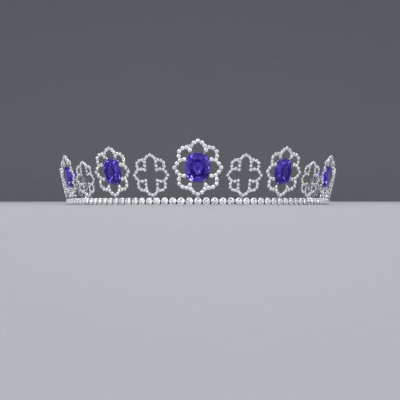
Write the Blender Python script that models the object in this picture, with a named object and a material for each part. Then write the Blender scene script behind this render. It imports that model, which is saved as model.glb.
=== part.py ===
"""A halo tiara: a round band of collet-set brilliants that carries fifteen upright pierced motifs.

Seven motifs hold a cushion-cut sapphire and eight are open. They alternate from the centre to the two
free ends, and grow smaller towards the back. Metres, +Z up. The front faces -Y and the band lies on z = 0.
"""

import math
from collections import namedtuple

import bmesh
import bpy
from mathutils import Matrix, Vector

Motif = namedtuple("Motif", "kind degrees height")
Ring = namedtuple("Ring", "depth width")
Corner = namedtuple("Corner", "out rise")

# Band: the circle through the middle of its stones, and the row of stones on it
BAND_RADIUS = 0.075
STONES_PER_SIDE = 45
FRONT_PITCH = 0.00415
PITCH_STEP = 0.000031
COLLET_SHARE = 0.94
COLLET_SIDES = 10

# Strip behind the stones, in shares of the collet's diameter: outwards from the circle, up from the floor
STRIP_BACK = -0.40
STRIP_FRONT = -0.17
STRIP_FOOT = 0.10
STRIP_TOP = 0.85
STRIP_PIECES = 46
STRIP_SECTION = (
    Corner(STRIP_BACK, STRIP_FOOT),
    Corner(STRIP_FRONT, STRIP_FOOT),
    Corner(STRIP_FRONT, STRIP_TOP),
    Corner(STRIP_BACK, STRIP_TOP),
)

# A collet and its stone, from the back to the table, in shares of the collet's diameter
TABLE_OUT = 0.35
COLLET_RINGS = (
    Ring(-0.25, 1.00),
    Ring(0.23, 1.00),
    Ring(TABLE_OUT, 0.56),
)

# Motifs: they lean outwards, and stand a little above the stones of the band
LEAN = math.radians(12.6)
TIP_LIFT_SHARE = 0.025
FRAME_WIDTH_SHARE = 0.083
FRAME_DEPTH_SHARE = 0.80
GAP = 0.0003

# Posts behind the bottom tips: back and front of the leg in shares of the collet's diameter
POST_WIDTH = 0.0010
POST_RISE = 0.0012
POST_BACK = -0.36
POST_FRONT = -0.06

# One quarter of a motif's outline as the centres of its stones: across and up, in shares of the height
OUTLINE_QUARTER = (
    (0.000, 0.500),
    (0.075, 0.465),
    (0.125, 0.407),
    (0.206, 0.380),
    (0.282, 0.364),
    (0.345, 0.303),
    (0.352, 0.217),
    (0.331, 0.140),
    (0.386, 0.078),
    (0.433, 0.000),
)
UPPER_NECK = 2
SIDE_NECK = 7

# The inner wall of an open motif's round lobe, from the upper neck to the side neck: across and up
CELL_WALL = (
    (0.146, 0.327),
    (0.147, 0.231),
    (0.150, 0.132),
    (0.243, 0.154),
)

# Sapphires, in shares of their motif's height
STONE_WIDTH_SHARE = 0.462
STONE_HEIGHT_SHARE = 0.565
STONE_CORNER_SHARE = 0.140
STONE_CORNER_STEPS = 2

# The cut of a sapphire from keel to table: depth in shares of the height, width in shares of the girdle
STONE_RINGS = (
    Ring(-0.196, 0.16),
    Ring(-0.110, 0.64),
    Ring(-0.006, 1.00),
    Ring(0.006, 1.00),
    Ring(0.046, 0.84),
    Ring(0.072, 0.60),
)

# The two prongs in each quarter that hold a sapphire: the neck each grows from, and what it reaches for
PRONG_AIMS = {UPPER_NECK: (0.151, 0.324), SIDE_NECK: (0.251, 0.158)}
PRONG_SEARCH_STEPS = 400
ROUND_END_STEPS = 3
TURNS_BACK = -0.999

# Motifs from the centre to an end: place round the band, and height in metres from tip to tip
MOTIFS = (
    Motif("sapphire", 0.0, 0.0264),
    Motif("open", 17.1, 0.0202),
    Motif("sapphire", 33.3, 0.0240),
    Motif("open", 48.9, 0.0181),
    Motif("sapphire", 63.3, 0.0218),
    Motif("open", 78.2, 0.0161),
    Motif("sapphire", 95.0, 0.0197),
    Motif("open", 111.8, 0.0146),
)

# Beads at the free ends: how far the middle lies past the last joint, in shares of the collet's diameter
END_BEAD_REACH = 0.35
END_BEAD_SEGMENTS = 12
END_BEAD_RINGS = 6

MATERIALS = {
    "white metal": ((0.84, 0.84, 0.86, 1.0), 0.18, 1.0),
    "band stones": ((0.90, 0.91, 0.93, 1.0), 0.10, 0.6),
    "sapphire": ((0.09, 0.05, 0.40, 1.0), 0.05, 0.0),
}


def clear_scene():
    """Remove what the new file came with."""
    for thing in list(bpy.data.objects):
        bpy.data.objects.remove(thing)


def make_material(name):
    """A plain material in the colour, roughness and metallic value of its kind."""
    colour, roughness, metallic = MATERIALS[name]
    material = bpy.data.materials.new(name)
    material.use_nodes = True
    shader = material.node_tree.nodes["Principled BSDF"]
    shader.inputs["Base Color"].default_value = colour
    shader.inputs["Roughness"].default_value = roughness
    shader.inputs["Metallic"].default_value = metallic
    return material


def add_piece(name, bm, material_name, holder):
    """Turn a bmesh into a named object under the holder."""
    bmesh.ops.recalc_face_normals(bm, faces=bm.faces)
    mesh = bpy.data.meshes.new(name)
    bm.to_mesh(mesh)
    bm.free()
    mesh.materials.append(make_material(material_name))
    piece = bpy.data.objects.new(name, mesh)
    bpy.context.collection.objects.link(piece)
    piece.parent = holder
    return piece


def weld_on(piece, extra):
    """Fuse a helper solid to a piece, and leave the helper out of the model."""
    extra.hide_render = True
    extra.display_type = "WIRE"
    joint = piece.modifiers.new("fuse " + extra.name, "BOOLEAN")
    joint.operation = "UNION"
    joint.solver = "EXACT"
    joint.object = extra


def station(angle):
    """The tangent, the way out and the point on the band's circle at an angle from the front."""
    tangent = Vector((math.cos(angle), math.sin(angle), 0.0))
    outwards = Vector((math.sin(angle), -math.cos(angle), 0.0))
    return tangent, outwards, outwards * BAND_RADIUS


def pitch_at(place):
    """The space from stone to stone, which shrinks evenly from the front to the ends."""
    return FRONT_PITCH - PITCH_STEP * abs(place)


def angle_at(place):
    """The angle round the band of a stone's number; a half is the joint between two stones."""
    run = FRONT_PITCH * abs(place) - PITCH_STEP * place * place / 2
    return math.copysign(run / BAND_RADIUS, place)


def collet_diameter(place):
    """The outer diameter of the collet at a place in the row."""
    return COLLET_SHARE * pitch_at(place)


def place_at(angle):
    """The number in the row, not rounded, that stands at an angle."""
    run = abs(angle) * BAND_RADIUS
    root = math.sqrt(FRONT_PITCH * FRONT_PITCH - 2 * PITCH_STEP * run)
    return (FRONT_PITCH - root) / PITCH_STEP


def stone_height(place):
    """How high the middle of a stone is, where its collet stands on the floor with a flat side."""
    return collet_diameter(place) / 2 * math.cos(math.pi / COLLET_SIDES)


def closed_edges(bm, verts):
    """The edges of a closed loop."""
    return [bm.edges.new(pair) for pair in zip(verts, verts[1:] + verts[:1])]


def bridge(bm, lower, upper):
    """Quads between two rings of as many vertices."""
    count = len(lower)
    for index in range(count):
        after = (index + 1) % count
        bm.faces.new((lower[index], lower[after], upper[after], upper[index]))


def skin(bm, sections):
    """A closed solid through rings of points."""
    rings = [[bm.verts.new(point) for point in points] for points in sections]
    for lower, upper in zip(rings, rings[1:]):
        bridge(bm, lower, upper)
    bm.faces.new(rings[0])
    bm.faces.new(rings[-1])


def strip_section(share):
    """The corners of the strip at a share of the way from the left end to the right one."""
    place = (STONES_PER_SIDE + 0.5) * (2 * share - 1)
    size = collet_diameter(place)
    outwards = station(angle_at(place))[1]
    section = []
    for corner in STRIP_SECTION:
        section.append(outwards * (BAND_RADIUS + corner.out * size) + Vector((0.0, 0.0, corner.rise * size)))
    return section


def collet_section(place, ring):
    """A ring of points round the collet, or round the stone in it."""
    tangent, outwards, point = station(angle_at(place))
    size = collet_diameter(place)
    centre = point + outwards * ring.depth * size + Vector((0.0, 0.0, stone_height(place)))
    points = []
    for side in range(COLLET_SIDES):
        turn = 2 * math.pi * (side + 0.5) / COLLET_SIDES - math.pi / 2
        ray = tangent * math.cos(turn) + Vector((0.0, 0.0, math.sin(turn)))
        points.append(centre + ray * ring.width * size / 2)
    return points


def end_bead(side):
    """The bead that closes one end of the band."""
    place = side * (STONES_PER_SIDE + 0.5)
    size = collet_diameter(place)
    tangent, outwards, point = station(angle_at(place))
    centre = point + outwards * (STRIP_BACK + TABLE_OUT) / 2 * size + tangent * side * END_BEAD_REACH * size
    centre.z = size / 2
    bm = bmesh.new()
    bmesh.ops.create_uvsphere(bm, u_segments=END_BEAD_SEGMENTS, v_segments=END_BEAD_RINGS, radius=size / 2)
    bmesh.ops.translate(bm, verts=bm.verts, vec=centre)
    return bm


def build_band(holder):
    """The strip, and fused to it the collets with their stones and the round bead at each free end."""
    strip = bmesh.new()
    skin(strip, [strip_section(joint / STRIP_PIECES) for joint in range(STRIP_PIECES + 1)])
    band = add_piece("band", strip, "band stones", holder)
    row = bmesh.new()
    for place in range(-STONES_PER_SIDE, STONES_PER_SIDE + 1):
        skin(row, [collet_section(place, ring) for ring in COLLET_RINGS])
    weld_on(band, add_piece("collets", row, "band stones", holder))
    for side, word in ((-1, "left"), (1, "right")):
        weld_on(band, add_piece("end bead " + word, end_bead(side), "white metal", holder))


def mirrored(quarter):
    """A quarter of an outline, repeated in mirror image all the way round, clockwise from the top."""
    right = quarter + [(x, -y) for x, y in reversed(quarter[:-1])]
    left = [(-x, y) for x, y in reversed(right[1:-1])]
    return right + left


def in_metres(points, height):
    """Points in shares of a motif's height, as flat vectors in metres."""
    return [Vector((x * height, y * height)) for x, y in points]


def round_end(centre, along, radius):
    """The end of a prong, where the wall turns back round it."""
    side = Vector((along.y, -along.x))
    points = []
    for step in range(ROUND_END_STEPS + 1):
        turn = math.pi * (0.5 - step / ROUND_END_STEPS)
        points.append(centre + radius * (along * math.cos(turn) + side * math.sin(turn)))
    return points


def offset_right(points, distance):
    """A clockwise loop moved inwards; a negative distance moves it outwards."""
    moved = []
    for index, here in enumerate(points):
        before = (here - points[index - 1]).normalized()
        after = (points[(index + 1) % len(points)] - here).normalized()
        if before.dot(after) < TURNS_BACK:
            moved += round_end(here, before, distance)
            continue
        side_before = Vector((before.y, -before.x))
        side_after = Vector((after.y, -after.x))
        middle = (side_before + side_after).normalized()
        moved.append(here + middle * distance / middle.dot(side_before))
    return moved


def cushion_distance(point, height):
    """How far a flat point lies outside the sapphire's rounded outline."""
    corner = STONE_CORNER_SHARE * height
    x = abs(point.x) - (STONE_WIDTH_SHARE * height / 2 - corner)
    y = abs(point.y) - (STONE_HEIGHT_SHARE * height / 2 - corner)
    return math.hypot(max(x, 0.0), max(y, 0.0)) + min(max(x, y), 0.0) - corner


def prong_end(neck, aim, height):
    """The middle of a prong's round end, as near to its aim as the gap to the sapphire lets it."""
    start, target = in_metres((neck, aim), height)
    clearance = FRAME_WIDTH_SHARE * height / 2 + GAP
    end = start
    for step in range(PRONG_SEARCH_STEPS + 1):
        trial = start.lerp(target, step / PRONG_SEARCH_STEPS)
        if cushion_distance(trial, height) < clearance:
            break
        end = trial
    return end.x / height, end.y / height


def sapphire_walls(height):
    """The one opening of a sapphire frame, whose wall runs out and back along each prong."""
    quarter = []
    for index, point in enumerate(OUTLINE_QUARTER):
        quarter.append(point)
        if index in PRONG_AIMS:
            quarter += [prong_end(point, PRONG_AIMS[index], height), point]
    return [offset_right(in_metres(mirrored(quarter), height), FRAME_WIDTH_SHARE * height / 2)]


def open_walls(height):
    """The openings of an open frame: the cross in the middle and the cell in each round lobe."""
    half = FRAME_WIDTH_SHARE * height / 2
    outline = list(OUTLINE_QUARTER)
    cross = outline[:UPPER_NECK + 1] + list(CELL_WALL) + outline[SIDE_NECK:]
    cell = outline[UPPER_NECK:SIDE_NECK + 1] + list(reversed(CELL_WALL))
    wall = offset_right(in_metres(cell, height), half)
    walls = [offset_right(in_metres(mirrored(cross), height), half)]
    for x_side in (1, -1):
        for y_side in (1, -1):
            walls.append([Vector((point.x * x_side, point.y * y_side)) for point in wall])
    return walls


def frame_solid(height, walls):
    """A pierced frame: its outline and openings filled flat, and given their depth."""
    half = FRAME_WIDTH_SHARE * height / 2
    depth = FRAME_DEPTH_SHARE * FRAME_WIDTH_SHARE * height
    outline = offset_right(in_metres(mirrored(list(OUTLINE_QUARTER)), height), -half)
    bm = bmesh.new()
    edges = []
    for loop in [outline] + walls:
        edges += closed_edges(bm, [bm.verts.new((point.x, point.y, -depth / 2)) for point in loop])
    bmesh.ops.triangle_fill(bm, edges=edges, use_beauty=True, normal=(0.0, 0.0, 1.0))
    raised = bmesh.ops.extrude_face_region(bm, geom=bm.faces[:])["geom"]
    verts = [item for item in raised if isinstance(item, bmesh.types.BMVert)]
    bmesh.ops.translate(bm, verts=verts, vec=(0.0, 0.0, depth))
    return bm


def motif_seat(angle, height):
    """Where a motif stands: the middle and axes of its plane, and how high its lowest metal is."""
    tangent, outwards, point = station(angle)
    size = collet_diameter(place_at(angle))
    half = FRAME_WIDTH_SHARE * height / 2
    tip = size / 2 + half + TIP_LIFT_SHARE * height
    up = Vector((0.0, 0.0, math.cos(LEAN))) + outwards * math.sin(LEAN)
    face = tangent.cross(up)
    centre = point + Vector((0.0, 0.0, stone_height(place_at(angle)))) + up * (tip + height / 2)
    place = Matrix((tangent, up, face)).transposed().to_4x4()
    place.translation = centre
    return place, tip - half


def row_top(angle):
    """How high the collets reach beneath a post that stands at an angle."""
    below = math.floor(place_at(angle))
    top = 0.0
    for place in (below, below + 1):
        aside = max(abs(abs(angle) - angle_at(place)) * BAND_RADIUS - POST_WIDTH / 2, 0.0)
        radius = collet_diameter(place) / 2
        if aside < radius:
            rise = min(math.sqrt(radius * radius - aside * aside), stone_height(place))
            top = max(top, stone_height(place) + rise)
    return top


def post_solid(angle, drop):
    """The bracket behind a motif's tip: a leg that stands on the row of collets, and an arm to the frame."""
    tangent, outwards, point = station(angle)
    size = collet_diameter(place_at(angle))
    foot = row_top(angle) + GAP
    arm = stone_height(place_at(angle)) + drop * math.cos(LEAN)
    reach = drop * math.sin(LEAN)
    profile = (
        (POST_BACK * size, foot),
        (POST_FRONT * size, foot),
        (POST_FRONT * size, arm),
        (reach, arm),
        (reach, arm + POST_RISE),
        (POST_BACK * size, arm + POST_RISE),
    )
    bm = bmesh.new()
    ends = []
    for side in (-1, 1):
        start = point + tangent * side * POST_WIDTH / 2
        ends.append([start + outwards * out + Vector((0.0, 0.0, rise)) for out, rise in profile])
    skin(bm, ends)
    return bm


def cushion_points(height):
    """The rounded outline of a sapphire's girdle, anticlockwise."""
    corner = STONE_CORNER_SHARE * height
    x = STONE_WIDTH_SHARE * height / 2 - corner
    y = STONE_HEIGHT_SHARE * height / 2 - corner
    points = []
    for number, (x_side, y_side) in enumerate(((1, 1), (-1, 1), (-1, -1), (1, -1))):
        for step in range(STONE_CORNER_STEPS + 1):
            turn = math.pi / 2 * (number + step / STONE_CORNER_STEPS)
            bend = Vector((math.cos(turn), math.sin(turn))) * corner
            points.append(Vector((x_side * x, y_side * y)) + bend)
    return points


def sapphire_solid(height):
    """A cushion-cut stone: keel, pavilion, girdle, crown and table."""
    outline = cushion_points(height)
    bm = bmesh.new()
    sections = []
    for ring in STONE_RINGS:
        level = Vector((0.0, 0.0, ring.depth * height))
        sections.append([(point * ring.width).to_3d() + level for point in outline])
    skin(bm, sections)
    return bm


def build_motif(motif, angle, word, holder):
    """A frame with its post fused on, and its sapphire if it has one."""
    place, drop = motif_seat(angle, motif.height)
    has_stone = motif.kind == "sapphire"
    walls = sapphire_walls(motif.height) if has_stone else open_walls(motif.height)
    name = motif.kind + "_frame_" + word
    frame = add_piece(name, frame_solid(motif.height, walls), "white metal", holder)
    frame.matrix_local = place
    weld_on(frame, add_piece("post " + word, post_solid(angle, drop), "white metal", holder))
    if has_stone:
        stone = add_piece("sapphire_" + word, sapphire_solid(motif.height), "sapphire", holder)
        stone.matrix_local = place


def build_motifs(holder):
    """The centre motif, and the others in pairs."""
    centre = MOTIFS[0]
    build_motif(centre, 0.0, "centre", holder)
    for order, motif in enumerate(MOTIFS[1:]):
        rank = str(order // 2 + 1)
        build_motif(motif, -math.radians(motif.degrees), "left_" + rank, holder)
        build_motif(motif, math.radians(motif.degrees), "right_" + rank, holder)


def centre_over_origin(holder):
    """Move everything along Y, so that the middle of the tiara's box is over the origin."""
    bpy.context.view_layer.update()
    depths = []
    for piece in holder.children:
        if not piece.hide_render:
            depths += [(piece.matrix_world @ Vector(corner)).y for corner in piece.bound_box]
    holder.location.y = -(min(depths) + max(depths)) / 2


def main():
    """Build the tiara."""
    clear_scene()
    holder = bpy.data.objects.new("tiara", None)
    bpy.context.collection.objects.link(holder)
    build_band(holder)
    build_motifs(holder)
    centre_over_origin(holder)


main()
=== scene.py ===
# %% [markdown]
# # A halo tiara in white gold, brilliants and violet-blue sapphires
# A halo tiara is a slim band, open at the back, that carries a ring of upright motifs round the head. The
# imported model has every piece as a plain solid, at its real size and in its real place. It could be shown as
# it is, with better materials, but a jewel lives by its small parts: collets, grains, claws and facets. So
# this lesson keeps the solids as a frame to measure from, and makes a finer piece in the place of each.

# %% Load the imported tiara
import math
import random
from collections import namedtuple

import bmesh
import bpy
from mathutils import Matrix, Vector


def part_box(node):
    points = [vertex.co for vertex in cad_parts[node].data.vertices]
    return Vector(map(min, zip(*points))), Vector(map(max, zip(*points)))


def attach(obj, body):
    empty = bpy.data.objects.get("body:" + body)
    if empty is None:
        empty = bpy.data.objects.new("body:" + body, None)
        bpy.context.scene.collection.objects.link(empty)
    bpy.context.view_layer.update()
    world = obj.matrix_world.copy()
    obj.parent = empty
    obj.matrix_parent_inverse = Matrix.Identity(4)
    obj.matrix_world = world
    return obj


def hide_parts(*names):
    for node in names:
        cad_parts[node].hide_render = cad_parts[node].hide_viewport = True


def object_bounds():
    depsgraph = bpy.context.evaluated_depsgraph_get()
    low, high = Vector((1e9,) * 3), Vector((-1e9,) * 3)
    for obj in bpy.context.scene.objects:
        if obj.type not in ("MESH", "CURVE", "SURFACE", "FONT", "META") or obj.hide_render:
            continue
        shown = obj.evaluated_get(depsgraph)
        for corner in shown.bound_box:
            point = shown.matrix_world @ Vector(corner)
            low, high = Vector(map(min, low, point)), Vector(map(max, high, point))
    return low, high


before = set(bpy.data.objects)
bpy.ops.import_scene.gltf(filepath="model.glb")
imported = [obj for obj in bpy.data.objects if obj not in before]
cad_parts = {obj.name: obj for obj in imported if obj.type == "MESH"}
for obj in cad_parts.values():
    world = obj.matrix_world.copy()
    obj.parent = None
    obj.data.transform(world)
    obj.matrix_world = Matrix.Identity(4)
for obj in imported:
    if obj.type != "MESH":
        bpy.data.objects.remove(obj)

solid_low, solid_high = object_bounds()
solid_sides = [round(side * 1000, 1) for side in solid_high - solid_low]
print("the solids:", len(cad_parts), "nodes,", solid_sides, "mm")

# %% [markdown]
# ## The sizes that everything hangs on
# A goldsmith starts from the stones. The band is a row of 91 brilliants on a circle, largest in the middle of
# the front and each a little smaller than the one before. The motifs are all one drawing at several heights.
# The sizes could be read back from the solids one by one. It is clearer to state the few that drive the
# design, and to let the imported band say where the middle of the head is. Sizes of the whole are in metres.
# Sizes inside the band are in widths of a collet, and sizes inside a motif are in heights of the motif.

# %% Driving sizes of the band
BAND_RADIUS = 0.075  # the circle that the middles of the collets stand on
STONES_PER_SIDE = 45
STONES = 2 * STONES_PER_SIDE + 1
FRONT_PITCH = 0.00415  # from stone to stone in the middle of the front
PITCH_STEP = 0.000031  # how much the pitch falls from each stone to the next
COLLET_SHARE = 0.94  # the width of a collet in pitches
TABLE_OUT = 0.35  # how far the tables of the stones stand out from the circle

front_collet = COLLET_SHARE * FRONT_PITCH
band_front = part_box("band")[0].y
HEAD_CENTRE = Vector((0.0, band_front + TABLE_OUT * front_collet + BAND_RADIUS, 0.0))
print("middle of the head: %.1f mm behind the origin" % (HEAD_CENTRE.y * 1000))

# %% The motifs from the centre to one end
LEAN = math.radians(12.6)  # how far the motifs lean outwards
WIRE_WIDTH = 0.083  # the width of a line of stones
TIP_LIFT = 0.025  # from the top of the band to the tip of a motif

Motif = namedtuple("Motif", "kind degrees height")  # degrees round the band, and the height in metres
MOTIFS = (
    Motif("sapphire", 0.0, 0.0264),
    Motif("open", 17.1, 0.0202),
    Motif("sapphire", 33.3, 0.0240),
    Motif("open", 48.9, 0.0181),
    Motif("sapphire", 63.3, 0.0218),
    Motif("open", 78.2, 0.0161),
    Motif("sapphire", 95.0, 0.0197),
    Motif("open", 111.8, 0.0146),
)
print("motifs: one in the centre and", len(MOTIFS) - 1, "on each side")

# %% [markdown]
# ## Places round the head
# Every piece is modelled lying flat at the origin: X is across, Y is up and Z looks out at the viewer. A
# matrix then stands it at its angle round the head. The band's pieces are modelled one collet wide, and the
# motifs one height tall, so the same matrix also gives them their size.

# %% Places in the row of stones


def stand(angle, lean=0.0):
    """Across, up and out at an angle round the head, from the floor under the middle of the row."""
    across = Vector((math.cos(angle), math.sin(angle), 0.0))
    outwards = Vector((math.sin(angle), -math.cos(angle), 0.0))
    up = Vector((0.0, 0.0, math.cos(lean))) + outwards * math.sin(lean)
    place = Matrix((across, up, across.cross(up))).transposed().to_4x4()
    place.translation = HEAD_CENTRE + outwards * BAND_RADIUS
    return place


def row_angle(number):
    """The angle of a stone of the band: 0 is the middle of the front, and halves are between two stones."""
    run = FRONT_PITCH * abs(number) - PITCH_STEP * number * number / 2
    return math.copysign(run / BAND_RADIUS, number)


def row_size(angle):
    """The width of the collet at an angle."""
    return COLLET_SHARE * math.sqrt(FRONT_PITCH**2 - 2 * PITCH_STEP * BAND_RADIUS * abs(angle))


def row_place(number):
    """The floor under a stone of the band, with the collet's width as the unit."""
    angle = row_angle(number)
    return stand(angle) @ Matrix.Scale(row_size(angle), 4)


print("collets: %.2f mm in front, %.2f mm at the ends" % tuple(
    row_size(row_angle(number)) * 1000 for number in (0, STONES_PER_SIDE)))

# %% Places of the motifs
ROW_MIDDLE = math.cos(math.pi / 10) / 2  # how high the middle of the solid's ten-sided collets is


def motif_place(motif, side):
    """The middle of a motif, with its height as the unit."""
    angle = side * math.radians(motif.degrees)
    place = stand(angle, LEAN)
    rise = row_size(angle) / 2 + (0.5 + WIRE_WIDTH / 2 + TIP_LIFT) * motif.height
    place.translation += place.col[1].xyz * rise + Vector((0.0, 0.0, row_size(angle) * ROW_MIDDLE))
    return place @ Matrix.Scale(motif.height, 4)


print("the centre motif's middle is %.1f mm up" % (motif_place(MOTIFS[0], 0).translation.z * 1000))

# %% [markdown]
# ## Colours and nodes
# Colours are noted as sRGB hex values, as they would be picked from a picture, and the shader wants them
# linear. One function turns them, and one small function adds a node with its settings and links, so that
# each material below reads as a short list.

# %% Helpers for materials


def colour(code):
    """An sRGB hex value as a linear colour."""
    parts = [int(code[index:index + 2], 16) / 255 for index in (1, 3, 5)]
    return [part / 12.92 if part <= 0.04045 else ((part + 0.055) / 1.055) ** 2.4 for part in parts] + [1.0]


def add_node(material, kind, settings=None, links=None, **properties):
    """A node with its properties, its sockets' values and what feeds its sockets."""
    node = material.node_tree.nodes.new(kind)
    for name, value in properties.items():
        setattr(node, name, value)
    for socket, value in (settings or {}).items():
        node.inputs[socket].default_value = value
    for socket, source in (links or {}).items():
        material.node_tree.links.new(source, node.inputs[socket])
    return node


def new_material(name, settings):
    """A material with a Principled BSDF that has these values."""
    material = bpy.data.materials.new(name)
    material.use_nodes = True
    shader = material.node_tree.nodes["Principled BSDF"]
    for socket, value in settings.items():
        shader.inputs[socket].default_value = value
    return material, shader


def feed(material, shader, links):
    """Link outputs to the shader's sockets."""
    for socket, source in links.items():
        material.node_tree.links.new(source, shader.inputs[socket])


print("#808080 is %.3f when it is linear" % colour("#808080")[0])

# %% [markdown]
# ## White gold, rhodium plated
# The metal is 18 carat white gold, buffed with a felt wheel and plated with rhodium, which is whiter and
# brighter than the gold beneath. It could be a perfect mirror, but a buffed surface has a faint haze where
# the wheel couldn't reach, and fine wheel marks. A metal's colour is its base colour, and its IOR stays at
# the default.

# %% Rhodium-plated white gold
HAZE_PATCH = 0.0012  # the size of the hazy patches that buffing leaves
WHEEL_MARK = 0.00012  # the spacing of the finest marks, drawn coarse enough to show in a close view
MARK_DEPTH = 0.00002

white_gold, gold_shader = new_material(
    "white_gold_rhodium_plated", {"Base Color": colour("#e2e3e5"), "Metallic": 1.0})
place_on_piece = add_node(white_gold, "ShaderNodeTexCoord")
haze = add_node(white_gold, "ShaderNodeTexNoise", {"Scale": 1 / HAZE_PATCH, "Detail": 3.0},
                {"Vector": place_on_piece.outputs["Object"]})
sheen = add_node(white_gold, "ShaderNodeMapRange", {"To Min": 0.10, "To Max": 0.26},
                 {"Value": haze.outputs["Fac"]})
marks = add_node(white_gold, "ShaderNodeTexNoise", {"Scale": 1 / WHEEL_MARK, "Detail": 2.0},
                 {"Vector": place_on_piece.outputs["Object"]})
relief = add_node(white_gold, "ShaderNodeBump", {"Strength": 0.12, "Distance": MARK_DEPTH},
                  {"Height": marks.outputs["Fac"]})
feed(white_gold, gold_shader, {"Roughness": sheen.outputs["Result"], "Normal": relief.outputs["Normal"]})
print("material:", white_gold.name)

# %% [markdown]
# ## Painted shade in the slits
# Between two stones the metal should lie in shade, and that thin shadow is what lets the eye count them. It
# could be left to the light, but a pale room lights every slit. So the shade is painted as a dark, rough metal
# with patches: the strip behind the band's collets has a front of it, and so have the walls of a motif's
# collets where they face each other.

# %% White gold with painted shade for the slits
SHADE_PATCH = 0.0008  # the size of the patches in the painted shade

# A dark, rough metal that paints the shade between two stones.
slit_shade_gold, slit_shade_shader = new_material("white_gold_painted_slit_shade", {"Metallic": 1.0, "Roughness": 0.42})
shade_noise = add_node(slit_shade_gold, "ShaderNodeTexNoise", {"Scale": 1 / SHADE_PATCH, "Detail": 3.0},
                      {"Vector": add_node(slit_shade_gold, "ShaderNodeTexCoord").outputs["Object"]})
shade_ramp = add_node(slit_shade_gold, "ShaderNodeValToRGB", links={"Fac": shade_noise.outputs["Fac"]})
shade_ramp.color_ramp.elements[0].color = colour("#3a3a3e")
shade_ramp.color_ramp.elements[1].color = colour("#6a6a6e")
feed(slit_shade_gold, slit_shade_shader, {"Base Color": shade_ramp.outputs["Color"]})
print("material:", slit_shade_gold.name)

# %% [markdown]
# ## Diamond
# A brilliant throws most of its light back through the top, so each facet shows as one tone: white where it
# mirrors a lamp or the sky, grey or nearly black where it mirrors the viewer. A path tracer can follow that
# light inside 800 stones, but at a few pixels a stone it turns to noise. Here each facet's reflection is
# painted as a tone, a number on the mesh that the shader reads, with diamond's high IOR for the hard glitter
# on top.

# %% Diamond
diamond, diamond_shader = new_material("diamond_brilliant_cut", {"Roughness": 0.03, "IOR": 2.42})
facet_tone = add_node(diamond, "ShaderNodeAttribute", attribute_name="tone")
painted_reflection_ramp = add_node(diamond, "ShaderNodeValToRGB", links={"Fac": facet_tone.outputs["Fac"]})
# From dark grey to white: the painted reflection of each facet.
painted_reflection_ramp.color_ramp.elements[0].color = colour("#2b2e36")
painted_reflection_ramp.color_ramp.elements[1].color = colour("#ffffff")
painted_reflection_ramp.color_ramp.elements.new(0.5).color = colour("#b9bec8")
feed(diamond, diamond_shader, {"Base Color": painted_reflection_ramp.outputs["Color"]})
print("material:", diamond.name)

# %% [markdown]
# ## Sapphire
# The seven large stones are violet-blue sapphire. Their colour is made inside: light enters through the
# crown, turns round on the steep back and comes out again deeper in colour, so dark and bright patches lie
# side by side. These stones are large enough for the path tracer to follow that light, so the material is
# clear, with sapphire's IOR of 1.77 and only a little body colour. Its tint differs from facet to facet by a
# tone, as the diamond's does, which paints part of those patches: painted shade where it is low and a painted
# highlight where it is high. A pale room would lay a grey veil over the stone's outside, so what the outside
# mirrors is tinted violet as well.

# %% Sapphire
sapphire, sapphire_shader = new_material(
    "sapphire_violet_blue", {"Roughness": 0.02, "IOR": 1.77, "Transmission Weight": 0.93,
                             "Specular Tint": colour("#8272f4")})
painted_light_tone = add_node(sapphire, "ShaderNodeAttribute", attribute_name="tone")
# The ramp runs from dark to light body colour, so the tone paints shade and highlight into the tint.
body = add_node(sapphire, "ShaderNodeValToRGB", links={"Fac": painted_light_tone.outputs["Fac"]})
body.color_ramp.elements[0].color = colour("#16069c")
body.color_ramp.elements[1].color = colour("#8c76ff")
feed(sapphire, sapphire_shader, {"Base Color": body.outputs["Color"]})
print("material:", sapphire.name)

# %% [markdown]
# ## Making and keeping pieces
# Each piece is worked up in a bmesh and then becomes an object at the origin, with its place in its mesh.
# Small parts that repeat, such as a collet or a brilliant, are made once as a pattern and set many times.
# As separate objects they would be thousands, so they are joined as they are set.

# %% Patterns, and setting them


def pattern(bm):
    """Keep a small part as a mesh, to be set many times."""
    mesh = bpy.data.meshes.new("pattern")
    bm.to_mesh(mesh)
    bm.free()
    return mesh


def set_in(bm, mesh, place):
    """Add a copy of a pattern at a place, and return its faces."""
    verts_before, faces_before = len(bm.verts), len(bm.faces)
    bm.from_mesh(mesh)
    bm.verts.ensure_lookup_table()
    bm.faces.ensure_lookup_table()
    bmesh.ops.transform(bm, matrix=place, verts=bm.verts[verts_before:])
    return bm.faces[faces_before:]


# %% Keeping a piece
METAL = (white_gold, slit_shade_gold)
PAINTED_SHADE = 1  # the place of the painted shade on a piece of metal


def keep(name, bm, materials, sharp_degrees=None, replaced=None):
    """Turn a bmesh into a piece. Metal is smooth up to an angle, and a stone stays flat faced."""
    mesh = bpy.data.meshes.new(name)
    bm.to_mesh(mesh)
    bm.free()
    for material in materials:
        mesh.materials.append(material)
    if sharp_degrees is not None:
        mesh.shade_smooth()
        mesh.set_sharp_from_angle(angle=math.radians(sharp_degrees))
    piece = bpy.data.objects.new(name, mesh)
    bpy.context.scene.collection.objects.link(piece)
    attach(piece, "root")
    if replaced:
        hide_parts(replaced)
    print(name, len(mesh.polygons), "faces")


print("finishes of the metal:", [material.name for material in METAL])

# %% [markdown]
# ## Cutting a stone
# A cutter glues the rough to a stick and grinds one flat after another, each at a set angle. A gem could also
# be built from rings of points, but cutting it as the cutter does gives true flat facets whose edges meet by
# themselves. A bisect plane that clears its outer side is the grinding wheel, and the open edge is then
# filled.

# %% The grinding wheel
ON_WHEEL = 1e-6  # points nearer to the wheel than this lie on it


def polar(radius, azimuth, height):
    """A point at a radius, an azimuth and a height."""
    return Vector((radius * math.cos(azimuth), radius * math.sin(azimuth), height))


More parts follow.
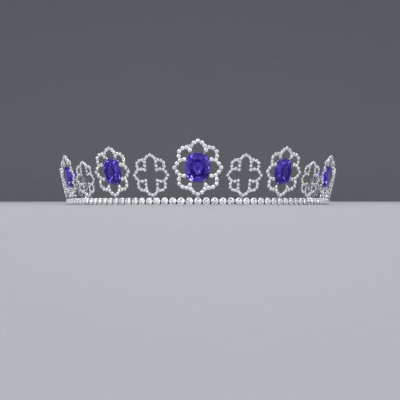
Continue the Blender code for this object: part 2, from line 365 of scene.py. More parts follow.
def grind(bm, azimuth, slope, point):
    """Cut one facet through a point. Its slope is from the table's plane, past 90 degrees on the back."""
    normal = polar(math.sin(slope), azimuth, math.cos(slope))
    cut = bmesh.ops.bisect_plane(bm, geom=bm.verts[:] + bm.edges[:] + bm.faces[:], dist=ON_WHEEL,
                                 plane_co=point, plane_no=normal, clear_outer=True)
    edges = [item for item in cut["geom_cut"] if isinstance(item, bmesh.types.BMEdge)]
    if len(edges) > 2:
        bmesh.ops.edgeloop_fill(bm, edges=edges)


trial = bmesh.new()
bmesh.ops.create_cube(trial, size=2.0)
grind(trial, 0.0, math.radians(45), polar(1.0, 0.0, 0.5))
print("a block with one edge ground off has", len(trial.faces), "faces")
trial.free()

# %% [markdown]
# ## The round brilliant
# A modern brilliant has a table, 8 kites, 8 stars and 16 upper halves on its crown, and 8 main facets and 16
# lower halves on its pavilion. The small stones of the motifs have no stars or lower halves, because at 2 mm
# or less nobody sees them. The table of a full cut is inset once, which makes a ring of eight flat fields
# round its middle: in a real stone the pavilion shows through there, and these fields can be given its tones.
# The stone is cut at a radius of 1, and the girdle is the edge that the collet holds.

# %% Slopes and sizes of the cut
CROWN_SLOPE = math.radians(34.5)
UPPER_HALF_SLOPE = math.radians(42)
STAR_DEGREES = 21
PAVILION_SLOPE = math.radians(180 - 41)
LOWER_HALF_SLOPE = math.radians(180 - 42.3)
HALF_GIRDLE = 0.02
TABLE_RADIUS = 0.56
TABLE_HEIGHT = HALF_GIRDLE + (1 - TABLE_RADIUS) * math.tan(CROWN_SLOPE)
TABLE_RING = 0.25  # the width of the ring of fields
SIXTEENTH = math.tau / 16
ROUGH_DEPTH = 2.4  # more than the depth of the finished stone
print("the table is %.2f above the middle of the girdle" % TABLE_HEIGHT)

# %% Brilliants


def brilliant(full_cut):
    """A round brilliant, with its table towards +Z."""
    bm = bmesh.new()
    bmesh.ops.create_cone(bm, cap_ends=True, segments=16, radius1=1.0, radius2=1.0, depth=ROUGH_DEPTH)
    flat = math.cos(SIXTEENTH / 2)
    for index in range(16):
        azimuth = (index + 0.5) * SIXTEENTH
        grind(bm, azimuth, UPPER_HALF_SLOPE, polar(flat, azimuth, HALF_GIRDLE))
        if full_cut:
            grind(bm, azimuth, LOWER_HALF_SLOPE, polar(flat, azimuth, -HALF_GIRDLE))
    for index in range(8):
        azimuth = (2 * index + 1) * SIXTEENTH
        grind(bm, azimuth, CROWN_SLOPE, polar(1.0, azimuth, HALF_GIRDLE))
        grind(bm, azimuth, PAVILION_SLOPE, polar(1.0, azimuth, -HALF_GIRDLE))
        if full_cut:
            azimuth += SIXTEENTH
            corner = polar(TABLE_RADIUS * math.cos(SIXTEENTH), azimuth, TABLE_HEIGHT)
            grind(bm, azimuth, math.radians(STAR_DEGREES), corner)
    grind(bm, 0.0, 0.0, polar(0.0, 0.0, TABLE_HEIGHT))
    if full_cut:
        table = max(bm.faces, key=lambda face: face.calc_center_median().z)
        bmesh.ops.inset_individual(bm, faces=[table], thickness=TABLE_RING, use_even_offset=True)
    return bm


band_brilliant = pattern(brilliant(full_cut=True))
small_brilliant = pattern(brilliant(full_cut=False))
print("facets: %d on a full cut, %d on a small stone" % (
    len(band_brilliant.polygons), len(small_brilliant.polygons)))

# %% [markdown]
# ## How a facet's painted reflection looks
# From the front most facets of a lively stone are white. A small stone has a pale grey table. A full cut has
# a white middle, with dark specks round it where stars and fields mirror the viewer. They lie in the same few
# directions on each stone of a row, because all stones face the same way. Each tone could be set by hand, but
# the 815 stones have about 43,000 facets. So a facet's painted tone follows from its slope and its place on
# the stone, and a seeded draw darkens a few of the white ones, as painted reflections of something dark, and
# makes each stone a little different.

# %% Painted reflection tones for the facets of a pattern
TABLE_TONE = 0.60
MIDDLE_TONE = 0.93
CROWN_TONE = 1.0
Speck = namedtuple("Speck", "azimuth tone")  # the azimuth in degrees, with 90 at the top of the stone
SPECKS = (
    Speck(270, 0.03),
    Speck(90, 0.15),
    Speck(180, 0.52),
    Speck(225, 0.55),
    Speck(135, 0.74),
    Speck(315, 0.72),
)
SPECK_REACH = 10  # degrees to each side of a speck's azimuth
LEVEL_DEGREES = 5  # a flatter facet than this is part of the table
STEEP_DEGREES = STAR_DEGREES + 3  # a steeper facet than this is neither a star nor part of the table
MIDDLE_RADIUS = 0.1  # a level facet this near to the axis is the middle of the table


def tones_of(mesh, middle_tone):
    """A painted reflection tone for each facet of a stone's pattern."""
    tones = []
    for facet in mesh.polygons:
        slope = math.degrees(math.acos(max(-1.0, min(1.0, facet.normal.z))))
        azimuth = math.degrees(math.atan2(facet.center.y, facet.center.x)) % 360
        tone = CROWN_TONE
        if slope < LEVEL_DEGREES and facet.center.xy.length < MIDDLE_RADIUS:
            tone = middle_tone
        elif slope < STEEP_DEGREES:
            for speck in SPECKS:
                if abs((azimuth - speck.azimuth + 180) % 360 - 180) < SPECK_REACH:
                    tone = speck.tone
        tones.append(tone)
    return tones


band_tones = tones_of(band_brilliant, MIDDLE_TONE)
small_tones = tones_of(small_brilliant, TABLE_TONE)
print("specks on a full cut:", sum(tone < MIDDLE_TONE for tone in band_tones))

# %% Setting a stone with its tones
TONE_SPREAD = 0.11
SPECK_SPREAD = 0.26
DARK_CHANCE = 0.11  # the share of white facets that get a painted reflection of something dark
DARK_SHARE = 0.42  # how much of its tone such a facet keeps
HAND_TURN = math.radians(9)  # how far a stone's facets are off the row's direction
glitter = random.Random(7)


def tone_layer(bm):
    """The mesh's layer of one tone to a face."""
    return bm.faces.layers.float.get("tone") or bm.faces.layers.float.new("tone")


def near(tone, spread):
    """A tone that differs a little from another."""
    return min(1.0, max(0.0, tone + glitter.uniform(-spread, spread)))


def set_stone(bm, mesh, tones, place, radius):
    """Set a brilliant with its girdle at a place, turned a little as by hand, with its tones."""
    turn = Matrix.Rotation(glitter.uniform(-HAND_TURN, HAND_TURN), 4, "Z")
    layer = tone_layer(bm)
    for face, tone in zip(set_in(bm, mesh, place @ turn @ Matrix.Scale(radius, 4)), tones):
        if tone == CROWN_TONE and glitter.random() < DARK_CHANCE:
            tone *= DARK_SHARE
        face[layer] = near(tone, SPECK_SPREAD if tone < TABLE_TONE else TONE_SPREAD)


print("a stone is turned by up to %.0f degrees" % math.degrees(HAND_TURN))

# %% [markdown]
# ## A collet
# A collet is a little cup of sheet metal, open at the back so that light and a brush can reach the stone. It
# is turned from one profile. Spinning the profile with a spin operator makes the wall, the seat and the rim
# in one, and the spin's first and last steps are merged so that the cup is closed.

# %% Collets
ROW_COLLET = (
    (0.410, -0.250),
    (0.470, -0.100),
    (0.500, 0.080),
    (0.500, 0.185),
    (0.496, 0.205),
    (0.486, 0.205),
    (0.476, 0.180),
    (0.380, 0.020),
    (0.310, -0.250),
)
MOTIF_COLLET = (
    (0.0200, -0.018),
    (0.0330, 0.000),
    (0.0405, 0.013),
    (0.0410, 0.020),
    (0.0402, 0.0225),
    (0.0380, 0.0225),
    (0.0368, 0.019),
    (0.0250, 0.006),
    (0.0130, -0.018),
)
ROW_COLLET_RADIUS = max(radius for radius, height in ROW_COLLET)


def turned_cup(profile, steps):
    """Turn a closed profile of (radius, height) points about Z."""
    bm = bmesh.new()
    corners = [bm.verts.new((radius, 0.0, height)) for radius, height in profile]
    edges = [bm.edges.new(pair) for pair in zip(corners, corners[1:] + corners[:1])]
    bmesh.ops.spin(bm, geom=corners + edges, angle=math.tau, steps=steps, axis=(0, 0, 1), cent=(0, 0, 0),
                   use_merge=True, use_duplicate=False)
    bmesh.ops.recalc_face_normals(bm, faces=bm.faces)
    return bm


row_collet = pattern(turned_cup(ROW_COLLET, steps=24))
motif_collet = pattern(turned_cup(MOTIF_COLLET, steps=14))
print("faces of a collet: %d in the row, %d on a motif" % (
    len(row_collet.polygons), len(motif_collet.polygons)))

# %% [markdown]
# ## Grains and claws
# Each stone is held by grains: short bits of metal pushed over its edge and rounded with a cup-shaped tool. A
# sphere of rings would crowd its faces at its poles. A subdivided icosahedron is round enough at half a
# millimetre, and its faces are nearly alike. A claw is a grain that is drawn out along its axis.

# %% A grain
grain_bm = bmesh.new()
bmesh.ops.create_icosphere(grain_bm, subdivisions=2, radius=1.0)
grain = pattern(grain_bm)


def set_grain(bm, place, radius, stretch=1.0):
    """Push one grain over at a place."""
    set_in(bm, grain, place @ Matrix.Diagonal((radius, radius, radius * stretch, 1.0)))


print("faces of a grain:", len(grain.polygons))

# %% [markdown]
# ## The row of brilliants
# The band's front is 91 collets side by side, each with four claws and a full-cut brilliant. An array
# modifier would set equal stones in a straight line. These get smaller along a circle, so a loop sets each at
# its own place and size. Every stone was set by hand, so each is turned a little differently in its collet.

# %% Collets, claws and brilliants of the band
ROW_GIRDLE_RADIUS = 0.478
ROW_GIRDLE_OUT = 0.195
CLAW_RADIUS = 0.042
CLAW_STRETCH = 1.5
CLAW_PAST_GIRDLE = 0.01
CLAW_OVER_GIRDLE = 0.02
collets = bmesh.new()
brilliants = bmesh.new()
tone_layer(brilliants)
for number in range(-STONES_PER_SIDE, STONES_PER_SIDE + 1):
    centre = row_place(number) @ Matrix.Translation((0.0, ROW_COLLET_RADIUS, 0.0))
    set_in(collets, row_collet, centre)
    for claw in range(4):
        point = polar(ROW_GIRDLE_RADIUS + CLAW_PAST_GIRDLE, math.tau * (claw + 0.5) / 4,
                      ROW_GIRDLE_OUT + CLAW_OVER_GIRDLE)
        set_grain(collets, centre @ Matrix.Translation(point), CLAW_RADIUS, CLAW_STRETCH)
    girdle = centre @ Matrix.Translation((0.0, 0.0, ROW_GIRDLE_OUT))
    set_stone(brilliants, band_brilliant, band_tones, girdle, ROW_GIRDLE_RADIUS)
keep("band_collets", collets, METAL, sharp_degrees=40)
keep("band_brilliants", brilliants, (diamond,))

# %% [markdown]
# ## The gallery strip
# Behind the collets runs a strip that holds them together and lies against the hair. It is pierced with a
# round hole behind every stone, and has a wire along each edge. The holes could be cut with a Boolean, but 91
# cuts in a bent sheet are slow and leave long thin faces. A goldsmith pierces it flat and then bends it, and
# so do the next two cells. The flat sheet is a grid that has one field of squares to a stone. It loses the
# middle of each field, the edge of the hole is pushed to a circle, and an extrusion gives the sheet its
# thickness.

# %% The pierced sheet, flat
FIELD = 6  # squares along each side of one stone's field
HOLE_EDGE = FIELD / 2 - 1  # squares from the middle of a field to the edge of its hole
HOLE_RADIUS = 0.20
STRIP_FOOT, STRIP_TOP = 0.125, 0.875
STRIP_BACK, STRIP_FRONT = -0.36, -0.18
strip_middle = (STRIP_FOOT + STRIP_TOP) / 2
square_high = (STRIP_TOP - STRIP_FOOT) / FIELD


def in_field(point):
    """A point of the grid in squares from the middle of its stone's field."""
    return (point.x - round(point.x)) * FIELD, (point.y - strip_middle) / square_high


strip = bmesh.new()
bmesh.ops.create_grid(strip, x_segments=FIELD * STONES, y_segments=FIELD, size=0.5)
bmesh.ops.transform(strip, verts=strip.verts, matrix=Matrix.Translation((0.0, strip_middle, STRIP_BACK))
                    @ Matrix.Diagonal((STONES, STRIP_TOP - STRIP_FOOT, 1.0, 1.0)))
middles = [face for face in strip.faces if max(map(abs, in_field(face.calc_center_median()))) < HOLE_EDGE]
bmesh.ops.delete(strip, geom=middles, context="FACES")
for vert in strip.verts:
    across, up = in_field(vert.co)
    if round(max(abs(across), abs(up))) == HOLE_EDGE:
        turn = math.atan2(up, across)
        vert.co.x = round(vert.co.x) + HOLE_RADIUS * COLLET_SHARE * math.cos(turn)
        vert.co.y = strip_middle + HOLE_RADIUS * math.sin(turn)
raised = bmesh.ops.extrude_face_region(strip, geom=strip.faces[:])["geom"]
bmesh.ops.translate(strip, vec=(0.0, 0.0, STRIP_FRONT - STRIP_BACK),
                    verts=[item for item in raised if isinstance(item, bmesh.types.BMVert)])
# The strip's front, seen between the collets, gets the painted shade.
for face in (item for item in raised if isinstance(item, bmesh.types.BMFace)):
    face.material_index = PAINTED_SHADE
print("the flat strip:", len(strip.faces), "faces")

# %% [markdown]
# ## The strip's wires and the bend
# The two edge wires are straight as long as the strip is flat. Each could be a bevelled curve, but a circle
# that is drawn along the strip in steps of half a stone has its points where the sheet has them, so both bend
# alike. A spin that only moves, and turns by nothing, draws it. Then every point goes to its place round the
# head.

# %% Edge wires, and bending
BAND_BACK = -0.40
EDGE_WIRE = 0.055
WIRE_SIDES = 8
HALF_STONE = 0.5


def draw_wire(bm, height, out):
    """Draw a straight wire along the flat strip."""
    ring = bmesh.ops.create_circle(bm, segments=WIRE_SIDES, radius=EDGE_WIRE)["verts"]
    bmesh.ops.transform(bm, verts=ring, matrix=Matrix.Translation((-STONES / 2, height, out))
                        @ Matrix.Rotation(math.pi / 2, 4, "Y"))
    edges = [edge for edge in bm.edges if edge.verts[0] in ring]
    bmesh.ops.edgeloop_fill(bm, edges=edges)
    drawn = bmesh.ops.spin(bm, geom=edges, angle=0.0, steps=2 * STONES, dvec=(HALF_STONE, 0.0, 0.0),
                           axis=(0, 0, 1), cent=(0, 0, 0), use_duplicate=False)["geom_last"]
    bmesh.ops.edgeloop_fill(bm, edges=[item for item in drawn if isinstance(item, bmesh.types.BMEdge)])


for height in (STRIP_FOOT + EDGE_WIRE, STRIP_TOP - EDGE_WIRE):
    draw_wire(strip, height, BAND_BACK + EDGE_WIRE)
for vert in strip.verts:
    vert.co = row_place(vert.co.x) @ Vector((0.0, vert.co.y, vert.co.z))
bmesh.ops.recalc_face_normals(strip, faces=strip.faces)
keep("band_gallery_strip", strip, METAL, sharp_degrees=40, replaced="band")

# %% [markdown]
# ## The end beads
# Each free end is closed with a ball, melted from the end of the wire, so that it doesn't catch in the hair.
# It could be cast and soldered on, but a melted ball has no seam, and a plain sphere shows it as it is.

# %% Balls at the two ends
BALL_RADIUS = 0.49
BALL_PAST_END = 0.35
balls = bmesh.new()
for side in (-1, 1):
    centre = Vector((side * BALL_PAST_END, strip_middle, (BAND_BACK + TABLE_OUT) / 2))
    place = row_place(side * (STONES_PER_SIDE + HALF_STONE)) @ Matrix.Translation(centre)
    bmesh.ops.create_uvsphere(balls, u_segments=28, v_segments=18, radius=BALL_RADIUS, matrix=place)
keep("band_end_balls", balls, METAL, sharp_degrees=60)

# %% [markdown]
# ## The drawing of a motif
# All fifteen motifs share one outline: four pointed lobes and four round ones, drawn by the middles of the
# stones. One quarter is enough, because the rest is its mirror image. A sapphire motif has two prongs in each
# quarter, each ending in a stone next to the sapphire. An open motif closes each round lobe with an inner
# wall.

# %% One quarter, in shares of the motif's height
OUTLINE = (
    (0.000, 0.500),
    (0.075, 0.465),
    (0.125, 0.407),
    (0.206, 0.380),
    (0.282, 0.364),
    (0.345, 0.303),
    (0.352, 0.217),
    (0.331, 0.140),
    (0.386, 0.078),
    (0.433, 0.000),
)
INNER_WALL = ((0.125, 0.407), (0.146, 0.327), (0.147, 0.231), (0.150, 0.132), (0.243, 0.154), (0.331, 0.140))
UPPER_PRONG = ((0.125, 0.407), (0.147, 0.327))
SIDE_PRONG = ((0.331, 0.140), (0.253, 0.155))
BRANCHES = {"sapphire": (UPPER_PRONG, SIDE_PRONG), "open": (INNER_WALL,)}
SAME_STONE = 0.01  # two points nearer than this are the middle of one stone


def quarters(points):
    """A line of points in all four quarters."""
    return [[Vector((x * right, y * up)) for x, y in points] for right in (1, -1) for up in (1, -1)]


def lines_of(kind):
    """All the lines of stones of a kind of motif."""
    return quarters(OUTLINE) + [line for branch in BRANCHES[kind] for line in quarters(branch)]


def stone_middles(lines):
    """Each stone of a set of lines once."""
    middles = []
    for point in (point for line in lines for point in line):
        if all((point - other).length > SAME_STONE for other in middles):
            middles.append(point)
    return middles


for kind in BRANCHES:
    print(kind, "motif:", len(stone_middles(lines_of(kind))), "stones")

# %% [markdown]
# ## The wire of a motif
# Seen from behind a motif is a line of thin bright wire, because its collets are soldered to one. The wire
# could be swept in a bmesh, but a curve with a round bevel is the plain tool for it. It is made a mesh at
# once, so that it joins the collets, and its end caps are merged with its wall.

# %% Wire from a curve
ONE_POINT = 1e-5  # points nearer than this are merged


def above(point, out):
    """A point of the flat drawing, at a distance out of it."""
    return Vector((point.x, point.y, out))


def add_wire(bm, points, radius, closed=False):
    """A round wire through points, joined to a bmesh. A closed one is a ring without ends."""
    curve = bpy.data.curves.new("wire", "CURVE")
    curve.dimensions = "3D"
    curve.bevel_depth = radius
    curve.bevel_resolution = 2
    curve.use_fill_caps = not closed
    spline = curve.splines.new("POLY")
    spline.points.add(len(points) - 1)
    spline.use_cyclic_u = closed
    for spot, point in zip(spline.points, points):
        spot.co = (*point, 1.0)
    bent = bpy.data.objects.new("wire", curve)
    wire = bmesh.new()
    wire.from_mesh(bpy.data.meshes.new_from_object(bent))
    bmesh.ops.remove_doubles(wire, verts=wire.verts, dist=ONE_POINT)
    set_in(bm, pattern(wire), Matrix.Identity(4))
    bpy.data.objects.remove(bent)
    bpy.data.curves.remove(curve)


for kind in BRANCHES:
    length = sum((after - here).length for line in lines_of(kind) for here, after in zip(line, line[1:]))
    print("wire behind the %s motif: %.1f times its height" % (kind, length))

# %% [markdown]
# ## What holds a sapphire
# Each prong ends in a claw, which runs up beside the sapphire and is bent over its edge. Behind the stone a
# bearer wire takes its weight, and a strut from each prong carries the wire. The claws need to know where the
# edge is. It could be four lines and four arcs, but the real edge bows a little all along, so one formula
# draws it: an oval with an exponent above 2, which is squarer.

# %% Claws and the bearer wire
STONE_HALF = Vector((0.2265, 0.2800))
BOW = 2.7  # the exponent of the outline
BACK_WIRE_OUT = -0.0140
CLAW_WIRE = 0.0075
CLAW_TIP = 1.25  # the tip's radius in radii of the claw's wire
BEARER_WIRE = 0.0085
BEARER_SHARE = 0.90  # the bearer wire's outline as a share of the stone's
BEARER_OUT = -0.052
BEARER_POINTS = 48
ClawBend = namedtuple("ClawBend", "inwards out")  # inwards from the stone's edge, and out of the drawing
CLAW_BENDS = (ClawBend(-0.008, -0.004), ClawBend(-0.007, 0.012), ClawBend(0.012, 0.026))


def cushion_edge(aim):
    """The point of the sapphire's outline on the line from its middle to a point."""
    share = (abs(aim.x) / STONE_HALF.x) ** BOW + (abs(aim.y) / STONE_HALF.y) ** BOW
    return aim / share ** (1 / BOW)


def add_claw(bm, prong):
    """A claw from the end of a prong over the sapphire's edge, and a strut to the bearer wire."""
    edge = cushion_edge(prong)
    inwards = (edge - prong).normalized()
    root = above(prong, BACK_WIRE_OUT)
    bends = [above(edge + inwards * bend.inwards, bend.out) for bend in CLAW_BENDS]
    add_wire(bm, [root] + bends, CLAW_WIRE)
    set_grain(bm, Matrix.Translation(bends[-1]), CLAW_WIRE * CLAW_TIP)
    add_wire(bm, (root, above(edge * BEARER_SHARE, BEARER_OUT)), BEARER_WIRE)


def add_bearer(bm):
    """The bearer wire behind the sapphire."""
    aims = [math.tau * step / BEARER_POINTS for step in range(BEARER_POINTS)]
    edge = [cushion_edge(Vector((math.cos(aim), math.sin(aim)))) * BEARER_SHARE for aim in aims]
    add_wire(bm, [above(point, BEARER_OUT) for point in edge], BEARER_WIRE, closed=True)


print("the sapphire is %.2f by %.2f of its motif's height" % tuple(2 * STONE_HALF))

# %% [markdown]
# ## The metal of a motif
# First comes the back wire along every line, and two grains in each gap between two stones, which both stones
# share. Then a collet goes to every stone. Where a collet's wall faces a neighbour it gets the painted shade.

# %% Painted shade on the walls in the slits
NEXT_STONE = 0.100  # two stones nearer than this have a slit between them
COLLET_WALL = 0.030  # what lies nearer to the middle than this is inside the cup
WALL_TILT = 0.7  # a face whose normal has less than this of Z in it is a wall
SLIT_DEGREES = 42  # a wall gets the painted shade up to this far from the way to the next stone


def shade_slits(faces, middle, middles):
    """Give the walls of a collet that face the next collets the painted shade."""
    ways = [(other - middle).normalized() for other in middles if 0 < (other - middle).length < NEXT_STONE]
    nearest_way = math.cos(math.radians(SLIT_DEGREES))
    for face in faces:
        spot = face.calc_center_median().xy - middle
        wall = abs(face.normal.z) < WALL_TILT and spot.length > COLLET_WALL
        if wall and any(spot.normalized().dot(way) > nearest_way for way in ways):
            face.material_index = PAINTED_SHADE


print("a slit is dull to %d degrees on each side of its middle" % SLIT_DEGREES)

# %% Metal of the motifs
BACK_WIRE_RADIUS = 0.0175
GRAIN_RADIUS = 0.0082
GRAIN_ASIDE = 0.019
GRAIN_OUT = 0.0225


def motif_metal(kind):
    """All the metal of a motif, one unit high."""
    bm = bmesh.new()
    lines = lines_of(kind)
    for line in lines:
        add_wire(bm, [above(point, BACK_WIRE_OUT) for point in line], BACK_WIRE_RADIUS)
        for here, after in zip(line, line[1:]):
            aside = (after - here).orthogonal().normalized() * GRAIN_ASIDE
            for side in (-1, 1):
                gap = above((here + after) / 2 + aside * side, GRAIN_OUT)
                set_grain(bm, Matrix.Translation(gap), GRAIN_RADIUS)
    middles = stone_middles(lines)
    for middle in middles:
        shade_slits(set_in(bm, motif_collet, Matrix.Translation(above(middle, 0.0))), middle, middles)
    if kind == "sapphire":
        for branch in BRANCHES[kind]:
            for line in quarters(branch):
                add_claw(bm, line[-1])
        add_bearer(bm)
    return bm


metal_patterns = {kind: pattern(motif_metal(kind)) for kind in BRANCHES}
for kind, mesh in metal_patterns.items():
    print(kind, "motif's metal:", len(mesh.polygons), "faces")

# %% [markdown]
# ## The post behind each motif
# A motif doesn't float: a short square post behind its bottom tip is soldered to the strip. It goes straight
# up from the strip and then leans against the motif's back wire. It could be one bar with a bend in it. Two
# bars that run into each other look the same, and each is a cube with bevelled edges.

# %% Posts
POST_WIDTH = 0.0010  # in metres, as the next is
POST_RISE = 0.0012  # how far the post reaches above the motif's tip
POST_OUT = -0.27  # in widths of the collet in front of it
POST_OVERLAP = 0.6  # how far the bars run into each other, in widths
POST_EDGE = 0.2  # the width of the bevel, in widths


def add_post(bm, motif, side):
    """A post from the strip to the motif's tip."""
    angle = side * math.radians(motif.degrees)
    size = row_size(angle)
    tip = motif_place(motif, side) @ Vector((0.0, -0.5 - WIRE_WIDTH / 2, BACK_WIRE_OUT))
    foot = stand(angle) @ Vector((0.0, (STRIP_TOP - EDGE_WIRE) * size, POST_OUT * size))
    head = tip + Vector((0.0, 0.0, POST_RISE))
    knee = foot + Vector((0.0, 0.0, head.z - foot.z - POST_RISE / 2))
    for start, end in ((foot, knee), (knee, head)):
        along = end - start
        bar = bmesh.new()
        bmesh.ops.create_cube(bar, size=1.0)
        sides = (POST_WIDTH, POST_WIDTH, along.length + POST_WIDTH * POST_OVERLAP)
        bmesh.ops.scale(bar, verts=bar.verts, vec=sides)
        bmesh.ops.bevel(bar, geom=bar.edges[:], offset=POST_WIDTH * POST_EDGE, affect="EDGES", segments=2,
                        profile=0.5, material=-1)
        turn = along.to_track_quat("Z", "X").to_matrix().to_4x4()
        set_in(bm, pattern(bar), Matrix.Translation((start + end) / 2) @ turn)


print("posts: %.1f mm square" % (POST_WIDTH * 1000))

# %% [markdown]
# ## The motifs round the head
# Now each motif is put together at its place: its metal with its post is one piece, and its stones are
# another. The metal could be shared between motifs of a kind as one mesh, but each has its own size and its
# own post.

# %% Motifs round the head
MOTIF_GIRDLE_RADIUS = 0.0365
MOTIF_GIRDLE_OUT = 0.0205


def places_of(motif):
    """The sides and names of a motif: one in the centre, and two of all others."""
    if motif.degrees == 0.0:
        return ((0, "centre"),)
    rank = 1 + [other for other in MOTIFS if other.kind == motif.kind and other.degrees > 0].index(motif)
    return ((-1, "left_%d" % rank), (1, "right_%d" % rank))


for motif in MOTIFS:
    middles = stone_middles(lines_of(motif.kind))
    for side, word in places_of(motif):
        frame_name = "%s_frame_%s" % (motif.kind, word)
        place = motif_place(motif, side)
        metal = bmesh.new()
        set_in(metal, metal_patterns[motif.kind], place)
        add_post(metal, motif, side)
        keep(frame_name + "_metal", metal, METAL, sharp_degrees=40, replaced=frame_name)
        stones = bmesh.new()
        tone_layer(stones)
        for middle in middles:
            girdle = place @ Matrix.Translation(above(middle, MOTIF_GIRDLE_OUT))
            set_stone(stones, small_brilliant, small_tones, girdle, MOTIF_GIRDLE_RADIUS)
        keep(frame_name + "_brilliants", stones, (diamond,))

# %% [markdown]
# ## The sapphires
# Each sapphire is a cushion: a rectangle with wide round corners and sides that bow a little. The wheel first
# goes round a block for the girdle, then once for each of three tiers on the crown, up to a large table, and
# three on the pavilion, down to a short narrow keel. The pavilion is steeper than 41 degrees, so that light
# turns round on it instead of leaking through. A full cushion has more facets than this, but the photograph
# shows patches and no single facets. What it does show is a dark ring round a bright middle. A plain table
# can't show that, so the table is inset twice, and the rings and the middle get tones of their own.

# %% Tiers of the cut
GIRDLE = 0.002
GIRDLE_FACETS = 32
TABLE = 0.072
KEEL = -0.214
Tier = namedtuple("Tier", "facets turn slope inset")  # the turn is in shares of a facet
CROWN_TIERS = (
    Tier(GIRDLE_FACETS, 0.0, 50, 0.0),
    Tier(16, 0.5, 38, 0.020),
    Tier(8, 0.5, 25, 0.056),
)
PAVILION_TIERS = (
    Tier(GIRDLE_FACETS, 0.0, 50, 0.0),
    Tier(16, 0.5, 44, 0.034),
    Tier(12, 0.0, 41.5, 0.096),
)
print("facets ground in tiers:", sum(tier.facets for tier in CROWN_TIERS + PAVILION_TIERS))

# %% Cutting a cushion


def reach(azimuth):
    """How far the cushion's outline reaches in a direction."""
    power = BOW / (BOW - 1)
    across = (STONE_HALF.x * abs(math.cos(azimuth))) ** power
    up = (STONE_HALF.y * abs(math.sin(azimuth))) ** power
    return (across + up) ** (1 / power)


def cut_tiers(bm, tiers, side):
    """Go round the stone once for each tier, on the crown (side 1) or the pavilion (side -1)."""
    rise = GIRDLE
    last = tiers[0]
    for tier in tiers:
        rise += (tier.inset - last.inset) * math.tan(math.radians(last.slope))
        for index in range(tier.facets):
            azimuth = math.tau * (index + tier.turn) / tier.facets
            slope = math.radians(tier.slope if side > 0 else 180 - tier.slope)
            grind(bm, azimuth, slope, polar(reach(azimuth) - tier.inset, azimuth, side * rise))
        last = tier


def cut_cushion():
    """A cushion-cut stone, one motif's height as the unit."""
    bm = bmesh.new()
    bmesh.ops.create_cube(bm, size=1.0)
    for index in range(GIRDLE_FACETS):
        azimuth = math.tau * index / GIRDLE_FACETS
        grind(bm, azimuth, math.pi / 2, polar(reach(azimuth), azimuth, 0.0))
    cut_tiers(bm, CROWN_TIERS, 1)
    cut_tiers(bm, PAVILION_TIERS, -1)
    grind(bm, 0.0, 0.0, polar(0.0, 0.0, TABLE))
    grind(bm, 0.0, math.pi, polar(0.0, 0.0, KEEL))
    return bm


cushion = cut_cushion()
print("facets of a cushion:", len(cushion.faces))

# %% Painted light tones of the cushion, and the seven stones
# The ring tones are painted shade inside the table's edge, and the centre tone a painted highlight; the spread
# is random.
OUTER_TONE = 0.72
CENTRE_TONE = 1.0
SAPPHIRE_SPREAD = 0.20
Ring = namedtuple("Ring", "width tone")
TABLE_RINGS = (Ring(0.030, 0.30), Ring(0.048, 0.02))  # from the table's edge inwards

layer = tone_layer(cushion)
for face in cushion.faces:
    face[layer] = OUTER_TONE
table = max(cushion.faces, key=lambda face: face.calc_center_median().z)
for ring in TABLE_RINGS:
    inset = bmesh.ops.inset_individual(cushion, faces=[table], thickness=ring.width, use_even_offset=True)
    for face in inset["faces"]:
        face[layer] = ring.tone
table[layer] = CENTRE_TONE
cushion_pattern = pattern(cushion)

for motif in MOTIFS:
    if motif.kind != "sapphire":
        continue
    for side, word in places_of(motif):
        gem = bmesh.new()
        layer = tone_layer(gem)
        for face in set_in(gem, cushion_pattern, motif_place(motif, side)):
            face[layer] = near(face[layer], SAPPHIRE_SPREAD)
        keep("sapphire_%s_cushion_cut" % word, gem, (sapphire,), replaced="sapphire_%s" % word)

# %% [markdown]
# ## The stage
# The tiara stands on a pale seamless floor that curves up into a wall all round, as in a photographer's cove,
# so no line of horizon shows from any side. A plane and four walls would show their corners. One profile is
# spun about the middle instead. The paper is a light grey and not white, so that white stones stand out
# against it.

# %% Paper
FIBRE = 0.0025  # the spacing of the paper's fibres, drawn coarse enough to show

paper, paper_shader = new_material("seamless_paper_pale", {"Base Color": colour("#b6b8bc"), "Roughness": 0.9})
fibre = add_node(paper, "ShaderNodeTexNoise", {"Scale": 1 / FIBRE, "Detail": 2.0},
                 {"Vector": add_node(paper, "ShaderNodeTexCoord").outputs["Object"]})
fibre_relief = add_node(paper, "ShaderNodeBump", {"Strength": 0.05, "Distance": 0.0002},
                        {"Height": fibre.outputs["Fac"]})
feed(paper, paper_shader, {"Normal": fibre_relief.outputs["Normal"]})
print("material:", paper.name)

# %% Seamless cove
COVE_RADIUS = 1.3
COVE_SWEEP = 0.7  # the radius of the bend from the floor into the wall
COVE_WALL = 2.4
COVE_BENDS = 12
COVE_STEPS = 72
INNER_RING = 0.4  # keeps the triangles round the middle of the floor short

cove = bmesh.new()
line = [cove.verts.new((radius, 0.0, 0.0)) for radius in (0.0, INNER_RING, COVE_RADIUS)]
for step in range(1, COVE_BENDS + 1):
    turn = math.pi / 2 * step / COVE_BENDS
    radius = COVE_RADIUS + COVE_SWEEP * math.sin(turn)
    line.append(cove.verts.new((radius, 0.0, COVE_SWEEP * (1 - math.cos(turn)))))
line.append(cove.verts.new((COVE_RADIUS + COVE_SWEEP, 0.0, COVE_WALL)))
edges = [cove.edges.new(pair) for pair in zip(line, line[1:])]
bmesh.ops.spin(cove, geom=line + edges, angle=math.tau, steps=COVE_STEPS, axis=(0, 0, 1), cent=(0, 0, 0),
               use_merge=True, use_duplicate=False)
bmesh.ops.remove_doubles(cove, verts=cove.verts, dist=ONE_POINT)
bmesh.ops.recalc_face_normals(cove, faces=cove.faces)
cove_mesh = bpy.data.meshes.new("cove")
cove.to_mesh(cove_mesh)
cove.free()
cove_mesh.shade_smooth()
cove_mesh.materials.append(paper)
floor = bpy.data.objects.new("cove", cove_mesh)
bpy.context.scene.collection.objects.link(floor)
print("cove: %.1f m across" % (2 * (COVE_RADIUS + COVE_SWEEP)))

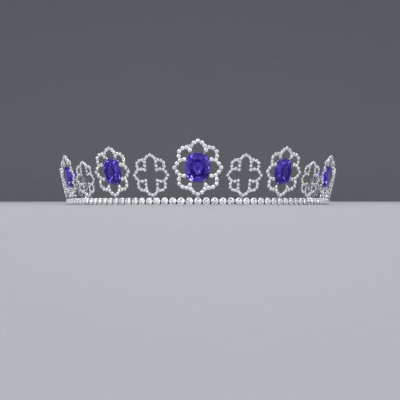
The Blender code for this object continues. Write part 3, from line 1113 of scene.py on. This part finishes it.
# %% [markdown]
# ## Soft light
# Polished metal shows what is round it, so the lamps are large and few: a key from the upper left, a weaker
# fill from the right, one behind for the back of the band, one above, and a dim even sky. Small lamps would
# make hard white points on every facet. The Standard view shows each colour as the lamps leave it.

# %% Lamps and sky
LAMP_SPREAD = math.radians(110)  # a grid on each lamp keeps its light off the floor and wall beside it
AIM = Vector((0.0, 0.0, 0.015))  # the middle of the tiara, half-way up
SKY_STRENGTH = 0.32
Lamp = namedtuple("Lamp", "name watts size place")
LAMPS = (
    Lamp("key", 3.05, 0.5, (-0.60, -0.80, 0.55)),
    Lamp("fill", 2.2, 0.6, (0.85, -0.65, 0.42)),
    Lamp("back", 1.6, 0.6, (0.10, 1.00, 0.70)),
    Lamp("top", 0.9, 0.8, (0.0, 0.05, 1.1)),
)

for lamp in LAMPS:
    light = bpy.data.lights.new(lamp.name, "AREA")
    light.energy = lamp.watts
    light.size = lamp.size
    light.spread = LAMP_SPREAD
    holder = bpy.data.objects.new(lamp.name, light)
    holder.location = lamp.place
    holder.rotation_euler = (AIM - Vector(lamp.place)).to_track_quat("-Z", "Y").to_euler()
    holder.visible_camera = False
    bpy.context.scene.collection.objects.link(holder)

sky = bpy.data.worlds.new("sky")
bpy.context.scene.world = sky
sky.use_nodes = True
background = sky.node_tree.nodes["Background"]
background.inputs["Color"].default_value = colour("#e6e9f0")
background.inputs["Strength"].default_value = SKY_STRENGTH
bpy.context.scene.view_settings.view_transform = "Standard"
print("lamps: %.1f W in all" % sum(lamp.watts for lamp in LAMPS))

# %% [markdown]
# ## The camera
# The photograph looks up at the tiara from about 13 degrees below the plane of its band. A tiara that stands
# on a floor can't be seen from there, so the camera keeps the photograph's side, distance and lens, and goes
# as low as the floor allows. The motifs lean outwards by nearly the same 13 degrees, so they show at almost
# full height from both places.

# %% Camera
LENS_MM = 73.2
SENSOR_MM = 36.0
CAMERA_DISTANCE = 0.400
CAMERA_HEIGHT = 0.0025
NEAREST = 0.005  # what is nearer to the camera than this isn't drawn
FRAME_PIXELS = 400
AXIS_PIXEL = 197.85  # the tiara's middle in the photograph, from the left edge

camera_data = bpy.data.cameras.new("camera")
camera_data.lens = LENS_MM
camera_data.sensor_width = SENSOR_MM
camera_data.shift_x = (FRAME_PIXELS / 2 - AXIS_PIXEL) / FRAME_PIXELS
camera_data.clip_start = NEAREST
camera = bpy.data.objects.new("camera", camera_data)
camera.location = (0.0, HEAD_CENTRE.y - BAND_RADIUS - CAMERA_DISTANCE, CAMERA_HEIGHT)
camera.rotation_euler = (math.pi / 2, 0.0, 0.0)
bpy.context.scene.collection.objects.link(camera)
bpy.context.scene.camera = camera
print("camera %.0f mm in front of the band" % (CAMERA_DISTANCE * 1000))
